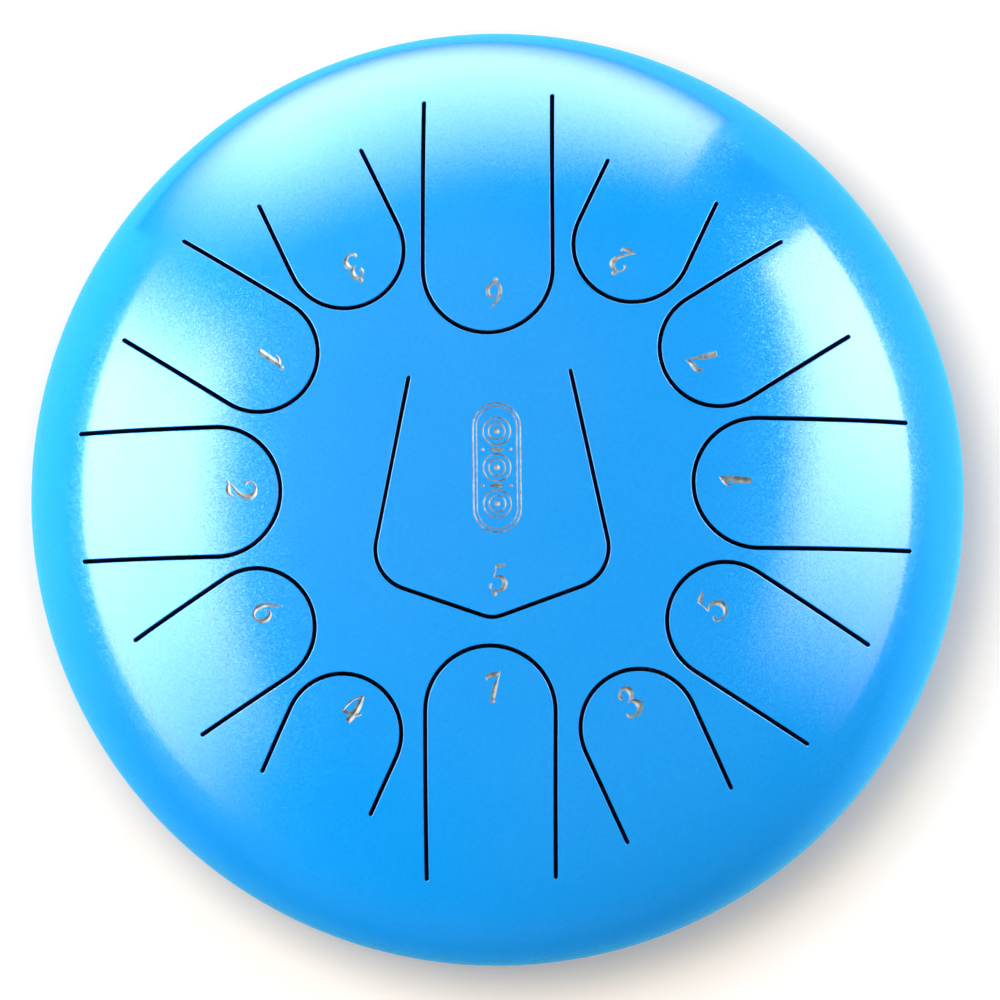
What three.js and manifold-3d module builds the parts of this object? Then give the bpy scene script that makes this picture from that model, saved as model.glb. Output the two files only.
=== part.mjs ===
// A thirteen-note steel tongue drum: two pressed steel bowls welded rim to rim, thirteen tongues cut
// into the upper one, a sound hole in the lower one, and four screwed rubber feet.
// Millimetres, +Z up. The origin is on the floor, under the middle of the drum. The player sits at -Y.

import * as THREE from "three";
import { mergeVertices } from "three/addons/utils/BufferGeometryUtils.js";
import Module from "manifold-3d";

const wasm = await Module();
wasm.setup();

// ---------------------------------------------------------------- driving dimensions

const SEAM_RADIUS = 152.4; // 12 inches across at the seam
const UPPER_DEPTH = 78; // seam plane to the crown
const UPPER_FLATNESS = 2.68; // exponent of the bowl's superellipse: 2 is an ellipse, more is flatter
const LOWER_DEPTH = 72;
const LOWER_FLATNESS = 3.6;
const SHEET = 2; // thickness of the steel
const FLOOR_CLEARANCE = 8; // floor to the lowest point of the lower bowl
const SEAM_HEIGHT = FLOOR_CLEARANCE + LOWER_DEPTH;
const SOUND_HOLE_RADIUS = 30;

const GAP = 0.3; // between touching pieces
const WELD_HALF_WIDTH = 1.2; // half the height of the bead between the two rims
const WELD_PROUD = 0.4; // how far the bead stands out of the rims, outside and inside

const SLIT = 1.3; // width of the cut around each tongue
const WIDE = 20.5; // half-width of a tongue, to the middle of its slit
const NARROW = 18.5;

const FEET = 4;
const FOOT_CIRCLE = 76; // radius of the circle that the feet stand on
const FOOT_TOP_RADIUS = 11.5;
const FOOT_BOTTOM_RADIUS = 9; // where the cone would end, 16 mm down
const FOOT_RECESS_RADIUS = 5.9; // the well that the screw's head sits in
const FOOT_WEB = 4; // rubber between the well and the steel
const FOOT_BAND_TOP = 1; // the straight band round the top of the foot starts this far from the steel
const FOOT_BAND_BOTTOM = 3;
const FOOT_CHAMFER = 0.7;

const SCREW_RADIUS = 2.5; // M5 x 16 pan head
const SCREW_LENGTH = 16;
const HEAD_RADIUS = 4.7;
const HEAD_HEIGHT = 3;
const HEAD_CHAMFER = 1.6;
const RECESS_SPAN = 5; // the cross recess, from end to end
const RECESS_WIDTH = 1;
const RECESS_DEPTH = 1.8;
const TIP_CHAMFER = 0.7;
const SCREW_HOLE_RADIUS = SCREW_RADIUS + GAP;
const WASHER_RADIUS = 5;
const WASHER_THICKNESS = 1;
const NUT_ACROSS_FLATS = 8;
const NUT_HEIGHT = 3.4;
const NUT_COLLAR_HEIGHT = 1.3; // the nylon ring that locks the nut
const NUT_COLLAR_RADIUS = 3.7;
const NUT_COLLAR_CHAMFER = 0.5;
const DRILL_LENGTH = 20; // longer than anything that is drilled

const SHELL_SEGMENTS = 56; // around each bowl
const PROFILE_STEPS = 10; // from the crown to the rim
const POLE_CROWDING = 1.25; // 1 is even steps, and more brings them closer together near the pole
const ARC_STEPS = 5; // in each rounded corner of a tongue
const SMALL_SEGMENTS = 16; // around feet, washers and screws

// The twelve outer tongues, with the note that each sounds in numbered notation. azimuth and reach
// place the centre of the round tip, heading is the way the slits run outwards, and left and right are
// the slits' lengths past that centre: each pair is cut a little uneven, to tune it.
const OUTER_TONGUES = [
  { note: "low_6", azimuth: 90, heading: 90, reach: 68.5, half: WIDE, left: 55.5, right: 57.5 },
  { note: "low_7", azimuth: -90.5, heading: -91, reach: 71, half: WIDE, left: 52, right: 53 },
  { note: "1", azimuth: 0, heading: -0.5, reach: 84.5, half: WIDE, left: 47.5, right: 48.5 },
  { note: "2", azimuth: -179.5, heading: 180, reach: 86.5, half: WIDE, left: 44.5, right: 45.5 },
  { note: "3", azimuth: -59, heading: -66, reach: 89.5, half: NARROW, left: 29, right: 31 },
  { note: "4", azimuth: -121.5, heading: -116, reach: 90.5, half: NARROW, left: 19.5, right: 22 },
  { note: "5", azimuth: -30.5, heading: -33, reach: 85.5, half: NARROW, left: 42, right: 42.5 },
  { note: "6", azimuth: -149.5, heading: -148, reach: 86, half: NARROW, left: 33.5, right: 35.5 },
  { note: "7", azimuth: 30.5, heading: 32.5, reach: 84, half: NARROW, left: 36, right: 37.5 },
  { note: "high_1", azimuth: 149.5, heading: 147.5, reach: 84, half: NARROW, left: 41.5, right: 42 },
  { note: "high_2", azimuth: 59, heading: 65, reach: 88.5, half: NARROW, left: 22, right: 24 },
  { note: "high_3", azimuth: 121, heading: 115.5, reach: 87.5, half: NARROW, left: 26.5, right: 28 },
];

// The middle tongue is a shield that hangs from its root, on the +Y side, and points to the player. Its
// sides flare from the root down to the shoulders. The corners are those of the slit before its fillets.
const SHIELD = {
  middleX: 0.5,
  leftRootY: 34,
  rightRootY: 35.5,
  flare: 11.8,
  shoulderY: -28.5,
  shoulderHalfWidth: 38.7,
  pointY: -42.1,
  shoulderFillet: 13,
  pointFillet: 9,
};

// ---------------------------------------------------------------- materials

function finish(color, roughness, metalness) {
  return new THREE.MeshStandardMaterial({ color, roughness, metalness });
}

const bluePaint = finish(0x1f9bf5, 0.35, 0.4);
const blackRubber = finish(0x17181a, 0.85, 0);
const zincSteel = finish(0xb9bdc2, 0.35, 1);

// ---------------------------------------------------------------- solids

const radians = THREE.MathUtils.degToRad;

function solidOf(geometry) {
  const bare = geometry.clone();
  bare.deleteAttribute("normal");
  bare.deleteAttribute("uv");
  const merged = mergeVertices(bare, 1e-4);
  return new wasm.Manifold(
    new wasm.Mesh({
      numProp: 3,
      vertProperties: new Float32Array(merged.attributes.position.array),
      triVerts: new Uint32Array(merged.index.array),
    }),
  );
}

function geometryOf(solid) {
  const mesh = solid.getMesh();
  const indexed = new THREE.BufferGeometry();
  indexed.setAttribute("position", new THREE.BufferAttribute(mesh.vertProperties, 3));
  indexed.setIndex(new THREE.BufferAttribute(mesh.triVerts, 1));
  const faceted = indexed.toNonIndexed();
  faceted.computeVertexNormals();
  return faceted;
}

function named(name, geometry, material) {
  const mesh = new THREE.Mesh(geometry, material);
  mesh.name = name;
  return mesh;
}

// A body of revolution about +Z. The profile's [radius, height] points start and end on the axis, or
// close on themselves.
function turned(profile, segments = SMALL_SEGMENTS) {
  const points = profile.map(([radius, height]) => new THREE.Vector2(radius, height));
  return new THREE.LatheGeometry(points, segments).rotateX(Math.PI / 2);
}

// An outline in the XY plane as an upright prism that reaches past the drum, above and below.
function prism(shape) {
  const height = 4 * UPPER_DEPTH;
  const options = { depth: height, bevelEnabled: false, curveSegments: ARC_STEPS };
  return new THREE.ExtrudeGeometry(shape, options).translate(0, 0, SEAM_HEIGHT - height / 2);
}

// ---------------------------------------------------------------- the bowls

// Half of a bowl's section, from the rim (share 0) to the pole (share 1): a point of the outer face
// and the unit normal that points out of the steel, both as [radius, height over the seam plane].
function bowlPoint(share, depth, flatness) {
  const angle = (share * Math.PI) / 2;
  const rim = WELD_HALF_WIDTH + GAP;
  const radius = SEAM_RADIUS * Math.cos(angle) ** (2 / flatness);
  const height = rim + (depth - rim) * Math.sin(angle);
  const across = (flatness / SEAM_RADIUS) * (radius / SEAM_RADIUS) ** (flatness - 1);
  const up = (2 / (depth - rim)) * Math.sin(angle);
  const size = Math.hypot(across, up);
  return { point: [radius, height], normal: [across / size, up / size] };
}

function insideOf({ point, normal }) {
  return [point[0] - SHEET * normal[0], point[1] - SHEET * normal[1]];
}

// The share of the section at which the outer face is this far from the axis.
function shareAt(radius, flatness) {
  return (2 / Math.PI) * Math.acos((radius / SEAM_RADIUS) ** (flatness / 2));
}

// Shares from the rim to the last one. Near the pole equal steps would grow long.
function sectionShares(last) {
  return Array.from({ length: PROFILE_STEPS + 1 }, (_, i) => {
    const even = i / PROFILE_STEPS;
    return last * (1 - (1 - even) ** POLE_CROWDING);
  });
}

function upperBowl() {
  const stations = sectionShares(1).map((s) => bowlPoint(s, UPPER_DEPTH, UPPER_FLATNESS));
  const outer = stations.map(({ point }) => point);
  const inner = stations.map(insideOf);
  outer[PROFILE_STEPS][0] = 0;
  inner[PROFILE_STEPS] = [0, UPPER_DEPTH - SHEET];
  const profile = [...inner.reverse(), ...outer].map(([r, z]) => [r, SEAM_HEIGHT + z]);
  return solidOf(turned(profile, SHELL_SEGMENTS));
}

function lowerBowl() {
  const last = shareAt(SOUND_HOLE_RADIUS, LOWER_FLATNESS);
  const stations = sectionShares(last).map((s) => bowlPoint(s, LOWER_DEPTH, LOWER_FLATNESS));
  const outer = stations.map(({ point }) => point);
  const inner = stations.map(insideOf);
  inner[PROFILE_STEPS][0] = SOUND_HOLE_RADIUS;
  const loop = [...outer.reverse(), ...inner, outer[0]];
  return solidOf(turned(loop.map(([r, z]) => [r, SEAM_HEIGHT - z]), SHELL_SEGMENTS));
}

function weldBead() {
  const outside = SEAM_RADIUS + WELD_PROUD;
  const inside = SEAM_RADIUS - SHEET - WELD_PROUD;
  const profile = [
    [inside, 0],
    [inside + WELD_PROUD, -WELD_HALF_WIDTH],
    [outside - WELD_PROUD, -WELD_HALF_WIDTH],
    [outside, 0],
    [outside - WELD_PROUD, WELD_HALF_WIDTH],
    [inside + WELD_PROUD, WELD_HALF_WIDTH],
    [inside, 0],
  ];
  return turned(profile.map(([r, z]) => [r, SEAM_HEIGHT + z]), SHELL_SEGMENTS);
}

// ---------------------------------------------------------------- tongues

// A tongue's outline, counter-clockwise, as the corners that the middle of its slit runs through and
// the fillet of each. It opens at its root, which is the edge from the last corner to the first.
function outerOutline({ azimuth, heading, reach, half, left, right }) {
  const centre = new THREE.Vector2(reach, 0).rotateAround(new THREE.Vector2(), radians(azimuth));
  const corner = (along, aside) =>
    new THREE.Vector2(along, aside).rotateAround(new THREE.Vector2(), radians(heading)).add(centre);
  return {
    corners: [corner(left, half), corner(-half, half), corner(-half, -half), corner(right, -half)],
    fillets: [0, half, half, 0],
  };
}

function shieldOutline(s) {
  const corner = (side, inset, y) => new THREE.Vector2(s.middleX + side * (s.shoulderHalfWidth - inset), y);
  const root = (side, y) => corner(side, (y - s.shoulderY) * Math.tan(radians(s.flare)), y);
  return {
    corners: [
      root(-1, s.leftRootY),
      corner(-1, 0, s.shoulderY),
      corner(0, 0, s.pointY),
      corner(1, 0, s.shoulderY),
      root(1, s.rightRootY),
    ],
    fillets: [0, s.shoulderFillet, s.pointFillet, s.shoulderFillet, 0],
  };
}

// Where two lines cross, each given by a point and a direction.
function crossing(p, along, q, other) {
  const offset = q.clone().sub(p);
  return p.clone().addScaledVector(along, offset.cross(other) / along.cross(other));
}

// The outline as a closed shape, grown outwards by side all along the slit and by root at its root.
function grownShape({ corners, fillets }, side, root) {
  const count = corners.length;
  const edges = corners.map((start, i) => {
    const along = corners[(i + 1) % count].clone().sub(start).normalize();
    const outwards = new THREE.Vector2(along.y, -along.x);
    const growth = i === count - 1 ? root : side;
    return { along, start: start.clone().addScaledVector(outwards, growth) };
  });
  const shape = new THREE.Shape();
  const go = (point, first) => (first ? shape.moveTo(point.x, point.y) : shape.lineTo(point.x, point.y));
  edges.forEach((next, i) => {
    const last = edges[(i + count - 1) % count];
    const corner = crossing(last.start, last.along, next.start, next.along);
    if (fillets[i] === 0) {
      go(corner, i === 0);
      return;
    }
    const radius = fillets[i] + side;
    const turn = Math.atan2(last.along.cross(next.along), last.along.dot(next.along));
    const tangent = corner.clone().addScaledVector(last.along, -radius * Math.tan(turn / 2));
    const inwards = new THREE.Vector2(-last.along.y, last.along.x);
    const centre = tangent.clone().addScaledVector(inwards, radius);
    const start = Math.atan2(tangent.y - centre.y, tangent.x - centre.x);
    go(tangent, false);
    shape.absarc(centre.x, centre.y, radius, start, start + turn, false);
  });
  shape.closePath();
  return shape;
}

// ---------------------------------------------------------------- feet

// The frame of one foot: its origin is on the lower bowl's outer face, and +Z runs in through the steel.
function footFrame(azimuth) {
  const share = shareAt(FOOT_CIRCLE, LOWER_FLATNESS);
  const { point, normal } = bowlPoint(share, LOWER_DEPTH, LOWER_FLATNESS);
  const frame = new THREE.Group();
  frame.position.set(
    point[0] * Math.cos(azimuth),
    point[0] * Math.sin(azimuth),
    SEAM_HEIGHT - point[1],
  );
  frame.rotation.set(0, -Math.atan2(normal[0], normal[1]), azimuth, "ZYX");
  frame.updateMatrix();
  return frame;
}

// A rubber cone with a well for the screw's head, cut flat along the floor.
function rubberFoot(frame) {
  const bottom = -2 * FLOOR_CLEARANCE;
  const body = turned([
    [SCREW_HOLE_RADIUS, -FOOT_WEB],
    [FOOT_RECESS_RADIUS, -FOOT_WEB],
    [FOOT_RECESS_RADIUS, bottom],
    [FOOT_BOTTOM_RADIUS, bottom],
    [FOOT_TOP_RADIUS, -FOOT_BAND_BOTTOM],
    [FOOT_TOP_RADIUS, -FOOT_BAND_TOP],
    [FOOT_TOP_RADIUS - FOOT_CHAMFER, -GAP],
    [SCREW_HOLE_RADIUS, -GAP],
    [SCREW_HOLE_RADIUS, -FOOT_WEB],
  ]);
  const size = FOOT_CIRCLE;
  const floor = new THREE.BoxGeometry(size, size, size)
    .translate(frame.position.x, frame.position.y, -size / 2)
    .applyMatrix4(frame.matrix.clone().invert());
  return geometryOf(solidOf(body).subtract(solidOf(floor)));
}

// What clears a screw's way through the pieces it holds, along +Z.
function screwDrill() {
  const radius = SCREW_HOLE_RADIUS;
  return new THREE.CylinderGeometry(radius, radius, DRILL_LENGTH, SMALL_SEGMENTS).rotateX(Math.PI / 2);
}

function washer(bottom) {
  return turned([
    [SCREW_HOLE_RADIUS, bottom],
    [WASHER_RADIUS, bottom],
    [WASHER_RADIUS, bottom + WASHER_THICKNESS],
    [SCREW_HOLE_RADIUS, bottom + WASHER_THICKNESS],
    [SCREW_HOLE_RADIUS, bottom],
  ]);
}

// A pan head screw with a cross recess. Its head hangs down from headTop and its shank runs up.
function screw(headTop) {
  const tip = headTop + SCREW_LENGTH;
  const crown = headTop - HEAD_HEIGHT;
  const body = turned([
    [0, crown],
    [HEAD_RADIUS - HEAD_CHAMFER, crown],
    [HEAD_RADIUS, crown + HEAD_CHAMFER],
    [HEAD_RADIUS, headTop],
    [SCREW_RADIUS, headTop],
    [SCREW_RADIUS, tip - TIP_CHAMFER],
    [SCREW_RADIUS - TIP_CHAMFER, tip],
    [0, tip],
  ]);
  const blade = new THREE.BoxGeometry(RECESS_SPAN, RECESS_WIDTH, 2 * RECESS_DEPTH).translate(0, 0, crown);
  const cross = solidOf(blade).add(solidOf(blade.clone().rotateZ(Math.PI / 2)));
  return geometryOf(solidOf(body).subtract(cross));
}

function lockNut(bottom) {
  const hexagon = new THREE.Shape();
  const corner = NUT_ACROSS_FLATS / Math.sqrt(3);
  for (let i = 0; i < 6; i++) {
    const angle = (i * Math.PI) / 3;
    const step = i === 0 ? "moveTo" : "lineTo";
    hexagon[step](corner * Math.cos(angle), corner * Math.sin(angle));
  }
  hexagon.closePath();
  const options = { depth: NUT_HEIGHT, bevelEnabled: false };
  const block = new THREE.ExtrudeGeometry(hexagon, options).translate(0, 0, bottom);
  const top = bottom + NUT_HEIGHT + NUT_COLLAR_HEIGHT;
  const collar = turned([
    [0, bottom + NUT_HEIGHT / 2],
    [NUT_COLLAR_RADIUS, bottom + NUT_HEIGHT / 2],
    [NUT_COLLAR_RADIUS, top - NUT_COLLAR_CHAMFER],
    [NUT_COLLAR_RADIUS - NUT_COLLAR_CHAMFER, top],
    [0, top],
  ]);
  return geometryOf(solidOf(block).add(solidOf(collar)).subtract(solidOf(screwDrill())));
}

function foot(index) {
  const frame = footFrame(((index + 0.5) * 2 * Math.PI) / FEET);
  const number = index + 1;
  const outerWasher = -FOOT_WEB - GAP - WASHER_THICKNESS;
  const innerWasher = SHEET + GAP;
  frame.add(
    named(`rubber_foot_${number}`, rubberFoot(frame), blackRubber),
    named(`foot_washer_${number}`, washer(outerWasher), zincSteel),
    named(`foot_screw_${number}`, screw(outerWasher - GAP), zincSteel),
    named(`inside_washer_${number}`, washer(innerWasher), zincSteel),
    named(`lock_nut_${number}`, lockNut(innerWasher + WASHER_THICKNESS + GAP), zincSteel),
  );
  return frame;
}

// ---------------------------------------------------------------- assembly

const drum = new THREE.Group();

const outlines = [["low_5", shieldOutline(SHIELD)], ...OUTER_TONGUES.map((t) => [t.note, outerOutline(t)])];
const wholeUpper = upperBowl();
let slottedUpper = wholeUpper;
for (const [note, outline] of outlines) {
  const tongue = solidOf(prism(grownShape(outline, -SLIT / 2, 0)));
  const window = solidOf(prism(grownShape(outline, SLIT / 2, GAP)));
  slottedUpper = slottedUpper.subtract(window);
  drum.add(named(`tongue_${note}`, geometryOf(wholeUpper.intersect(tongue)), bluePaint));
}
drum.add(named("upper_shell", geometryOf(slottedUpper), bluePaint));
drum.add(named("weld_seam", weldBead(), bluePaint));

let drilledLower = lowerBowl();
for (let i = 0; i < FEET; i++) {
  const assembly = foot(i);
  const drill = screwDrill().applyMatrix4(assembly.matrix);
  drilledLower = drilledLower.subtract(solidOf(drill));
  drum.add(assembly);
}
drum.add(named("lower_shell", geometryOf(drilledLower), bluePaint));

export default drum;
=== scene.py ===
"""The looks of a thirteen-note steel tongue drum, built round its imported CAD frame.

The script works in millimetres, as the CAD does, and turns them into Blender's metres where a mesh, a
light or the camera is made. Plan means seen from straight above: every slit is cut straight down, so a
place on the upper bowl is a plan point and the height of the bowl's face there.
"""

import math

import bmesh
import bpy
import numpy as np
from mathutils import Matrix, Vector
from mathutils.geometry import delaunay_2d_cdt


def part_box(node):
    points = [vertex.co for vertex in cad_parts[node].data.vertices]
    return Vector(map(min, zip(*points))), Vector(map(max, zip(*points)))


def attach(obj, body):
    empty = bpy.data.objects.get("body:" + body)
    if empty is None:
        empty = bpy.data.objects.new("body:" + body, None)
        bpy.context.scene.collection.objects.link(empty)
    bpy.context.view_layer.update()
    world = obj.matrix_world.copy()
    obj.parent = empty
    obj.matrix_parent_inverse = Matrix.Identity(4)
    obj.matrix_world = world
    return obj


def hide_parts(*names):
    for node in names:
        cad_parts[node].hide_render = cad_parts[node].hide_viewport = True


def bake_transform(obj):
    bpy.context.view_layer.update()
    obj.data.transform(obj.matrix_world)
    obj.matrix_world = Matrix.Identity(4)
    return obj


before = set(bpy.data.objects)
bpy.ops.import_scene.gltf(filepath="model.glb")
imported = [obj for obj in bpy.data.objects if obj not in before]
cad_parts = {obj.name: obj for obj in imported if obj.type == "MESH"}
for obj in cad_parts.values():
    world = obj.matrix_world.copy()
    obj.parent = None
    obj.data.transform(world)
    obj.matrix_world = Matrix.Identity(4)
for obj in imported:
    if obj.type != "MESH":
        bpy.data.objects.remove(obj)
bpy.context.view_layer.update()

MM = 0.001

# ---------------------------------------------------------------- dimensions, as the CAD has them

SEAM_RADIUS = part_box("upper_shell")[1].x / MM
SEAM_HEIGHT = (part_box("weld_seam")[0].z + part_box("weld_seam")[1].z) / 2 / MM
UPPER_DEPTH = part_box("tongue_low_5")[1].z / MM - SEAM_HEIGHT
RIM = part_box("upper_shell")[0].z / MM - SEAM_HEIGHT  # how far each rim stops short of the seam plane
UPPER_FLATNESS = 2.68
LOWER_DEPTH = 72
LOWER_FLATNESS = 3.6
SHEET = 2
SLIT = 1.3
WIDE = 20.5
NARROW = 18.5
SOUND_HOLE_RADIUS = 30

# note: azimuth and reach of the tip's centre, heading, half-width, left and right length, and the
# azimuth and reach of its number's centre
OUTER_TONGUES = {
    "low_6": (90, 68.5, 90, WIDE, 55.5, 57.5, 88, 60.5),
    "low_7": (-90.5, 71, -91, WIDE, 52, 53, -89.5, 63.5),
    "1": (0, 84.5, -0.5, WIDE, 47.5, 48.5, 0.5, 77.5),
    "2": (-179.5, 86.5, 180, WIDE, 44.5, 45.5, 180, 78.5),
    "3": (-59, 89.5, -66, NARROW, 29, 31, -58, 81),
    "4": (-121.5, 90.5, -116, NARROW, 19.5, 22, -122, 82),
    "5": (-30.5, 85.5, -33, NARROW, 42, 42.5, -29.5, 79.5),
    "6": (-149.5, 86, -148, NARROW, 33.5, 35.5, -151.5, 80.5),
    "7": (30.5, 84, 32.5, NARROW, 36, 37.5, 30, 78),
    "high_1": (149.5, 84, 147.5, NARROW, 41.5, 42, 149, 80),
    "high_2": (59, 88.5, 65, NARROW, 22, 24, 59, 82),
    "high_3": (121, 87.5, 115.5, NARROW, 26.5, 28, 121, 81),
}
SHIELD_MIDDLE = 0.5
SHIELD_ROOTS = (34, 35.5)
SHIELD_FLARE = 11.8
SHIELD_SHOULDER = (38.7, -28.5)
SHIELD_POINT = -42.1
SHIELD_FILLETS = (13, 9)
SHIELD_NUMBER = (2.3, -30)
ORNAMENT_CENTRE = (2.4, 5.3)

FEET = 4
FOOT_CIRCLE = 76
FOOT_TOP_RADIUS = 11.5
FOOT_FLOOR_RADIUS = 9.9
FOOT_WELL_RADIUS = 5.9
FOOT_WEB = 4
GAP = 0.3
WASHER_RADIUS = 5
WASHER_THICKNESS = 1
SCREW_RADIUS = 2.5
SCREW_LENGTH = 16
HEAD_RADIUS = 4.7
HEAD_HEIGHT = 3
NUT_ACROSS_FLATS = 8
NUT_HEIGHT = 3.4
NUT_COLLAR_HEIGHT = 1.3

# ---------------------------------------------------------------- fineness and small details

EDGE_ROUNDING = 0.28  # radius of the worn, painted edge along every slit
ROUNDING_ANGLES = np.radians([0, 30, 60, 90])
GROOVE_SLOPE = 0.42  # depth of the engraving per millimetre in from a stroke's edge
CONTOUR_STEP = 1.3
ARC_STEP = math.radians(6)
OUTER_SPACING = 3.2  # between the points of the outer faces
INNER_SPACING = 7
BAND_RADIUS = 138  # in plan, where the slotted cap meets the plain outer band
BAND_STEPS = 14
TURNS = 288  # points round the bowls
PAINT_SLOT, STEEL_SLOT, INSIDE_SLOT = 0, 1, 2  # the materials of a bowl or a tongue, in order
SECTION_STEPS = 6000  # points in the table of a bowl's section
END_STEPS = 10  # round each end of a slit
MERGE_CELL = 1e-4  # the points of a bowl or a tongue that share a cell of this size become one
SHARP_ANGLE = math.radians(38)  # edges sharper than this aren't shaded smooth

# ---------------------------------------------------------------- the bowls


class Bowl:
    """A pressed bowl: the heights and normals of its outer and inner faces over a plan radius."""

    def __init__(self, depth, flatness, sign):
        angle = np.linspace(math.pi / 2, 0, SECTION_STEPS)
        share = np.cos(angle) ** (2 / flatness)
        height = RIM + (depth - RIM) * np.sin(angle)
        across = flatness / SEAM_RADIUS * share ** (flatness - 1)
        up = 2 / (depth - RIM) * np.sin(angle)
        size = np.hypot(across, up)
        self.sign = sign
        self.flatness = flatness
        self.radius = SEAM_RADIUS * share
        self.height = height
        self.across = across / size
        self.up = up / size
        self.arc = np.concatenate([[0], np.cumsum(np.hypot(np.diff(self.radius), np.diff(height)))])

    def face(self, inner=False):
        """The plan radii and heights of one face's section, from the pole to the rim."""
        back = SHEET if inner else 0
        return self.radius - back * self.across, self.height - back * self.up

    def lift(self, plan, inner=False, drop=0):
        """Plan points as points of one face, sunk into the steel by drop, and the face's normals."""
        plan = np.asarray(plan, float)
        radii, heights = self.face(inner)
        out = np.hypot(plan[:, 0], plan[:, 1])
        height = np.interp(out, radii, heights) + (drop if inner else -drop)
        across = np.interp(out, radii, self.across) / np.maximum(out, 1e-9)
        up = np.interp(out, radii, self.up)
        points = np.column_stack([plan, SEAM_HEIGHT + self.sign * height])
        normals = np.column_stack([plan[:, 0] * across, plan[:, 1] * across, self.sign * up])
        return points, -normals if inner else normals

    def spread(self, plan):
        """Plan points moved out to their arc length from the pole, so that slopes aren't squeezed."""
        out = np.hypot(plan[:, 0], plan[:, 1])
        return plan * (np.interp(out, self.radius, self.arc) / np.maximum(out, 1e-9))[:, None]

    def unspread(self, points):
        out = np.hypot(points[:, 0], points[:, 1])
        return points * (np.interp(out, self.arc, self.radius) / np.maximum(out, 1e-9))[:, None]

    def band_radii(self, inner):
        """Plan radii from the band's start out to the rim, evenly spaced round the section's curve."""
        radii, _ = self.face(inner)
        ordinal = np.arange(len(radii))
        first = np.interp(BAND_RADIUS, radii, ordinal)
        steps = np.interp(np.linspace(first, len(radii) - 1, BAND_STEPS + 1), ordinal, radii)
        return np.concatenate([[BAND_RADIUS], steps[1:]])


upper_bowl = Bowl(UPPER_DEPTH, UPPER_FLATNESS, 1)
lower_bowl = Bowl(LOWER_DEPTH, LOWER_FLATNESS, -1)

# ---------------------------------------------------------------- plan outlines


def unit(degrees):
    return np.array([math.cos(math.radians(degrees)), math.sin(math.radians(degrees))])


def left_of(direction):
    return np.array([-direction[1], direction[0]])


def full_turn(count):
    return np.arange(count) * 2 * math.pi / count


def circle(centre, radius, count):
    turn = full_turn(count)
    return np.column_stack([centre[0] + radius * np.cos(turn), centre[1] + radius * np.sin(turn)])


def slit_track(corners, fillets):
    """Points along the middle of a slit with filleted corners, and normals that point off the tongue."""
    points, normals = [], []
    start = corners[0]
    for i in range(1, len(corners)):
        along = corners[i] - corners[i - 1]
        along = along / np.linalg.norm(along)
        normal = -left_of(along)
        turn = 0
        if i < len(corners) - 1:
            onward = corners[i + 1] - corners[i]
            turn = math.atan2(along[0] * onward[1] - along[1] * onward[0], along @ onward)
        stop = corners[i] - along * fillets[i] * math.tan(turn / 2)
        count = math.ceil(np.linalg.norm(stop - start) / CONTOUR_STEP)
        for k in range(count):
            points.append(start + (stop - start) * k / count)
            normals.append(normal)
        centre = stop - normal * fillets[i]
        count = math.ceil(turn / ARC_STEP)
        for k in range(count):
            c, s = math.cos(turn * k / count), math.sin(turn * k / count)
            spoke = normal * c + left_of(normal) * s
            points.append(centre + spoke * fillets[i])
            normals.append(spoke)
        start = centre + (normal * math.cos(turn) + left_of(normal) * math.sin(turn)) * fillets[i]
    return np.array([*points, corners[-1]]), np.array([*normals, normals[-1]])


def outer_track(azimuth, reach, heading, half, left, right):
    centre, outwards = reach * unit(azimuth), unit(heading)
    side = left_of(outwards)
    corners = [
        centre + outwards * left + side * half,
        centre - outwards * half + side * half,
        centre - outwards * half - side * half,
        centre + outwards * right - side * half,
    ]
    return slit_track(corners, (0, half, half, 0))


def shield_track():
    half, shoulder = SHIELD_SHOULDER
    shoulder_fillet, point_fillet = SHIELD_FILLETS

    def side_corner(side, y):
        inset = (y - shoulder) * math.tan(math.radians(SHIELD_FLARE))
        return np.array([SHIELD_MIDDLE + side * (half - inset), y])

    corners = [
        side_corner(-1, SHIELD_ROOTS[0]),
        side_corner(-1, shoulder),
        np.array([SHIELD_MIDDLE, SHIELD_POINT]),
        side_corner(1, shoulder),
        side_corner(1, SHIELD_ROOTS[1]),
    ]
    return slit_track(corners, (0, shoulder_fillet, point_fillet, shoulder_fillet, 0))


def tongue_wall(track):
    """The tongue's side of a slit: points of the cut, and the way into the slit at each."""
    points, normals = track
    return points - normals * SLIT / 2, normals


def shell_wall(track):
    """The bowl's side of a slit, round the slit's two ends to where the tongue's root begins."""
    points, normals = track
    sweep = np.linspace(0, math.pi, END_STEPS + 1)[:, None]
    first = -normals[0] * np.cos(sweep) + left_of(normals[0]) * -np.sin(sweep)
    last = normals[-1] * np.cos(sweep) + left_of(normals[-1]) * np.sin(sweep)
    spokes = np.concatenate([first[:-1], normals, last[1:]])
    start, stop = (np.repeat([end], END_STEPS, axis=0) for end in (points[0], points[-1]))
    centres = np.concatenate([start, points, stop])
    return centres + spokes * SLIT / 2, -spokes


def root_line(track):
    """Points along a tongue's root, from its right end to its left one, without the two ends."""
    wall, into = tongue_wall(track)
    ends = wall[[-1, 0]] - into[[-1, 0]] * EDGE_ROUNDING
    count = math.ceil(np.linalg.norm(ends[1] - ends[0]) / CONTOUR_STEP)
    return np.linspace(ends[0], ends[1], count + 1)[1:-1]


def inside(points, loop):
    """Which points lie inside a closed loop."""
    x, y = points[:, :1], points[:, 1:]
    after = np.roll(loop, -1, axis=0)
    spans = (loop[:, 1] > y) != (after[:, 1] > y)
    rise = after[:, 1] - loop[:, 1]
    rise = np.where(rise == 0, 1e-12, rise)
    crossing = loop[:, 0] + (y - loop[:, 1]) * (after[:, 0] - loop[:, 0]) / rise
    return (spans & (x < crossing)).sum(axis=1) % 2 == 1


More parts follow.
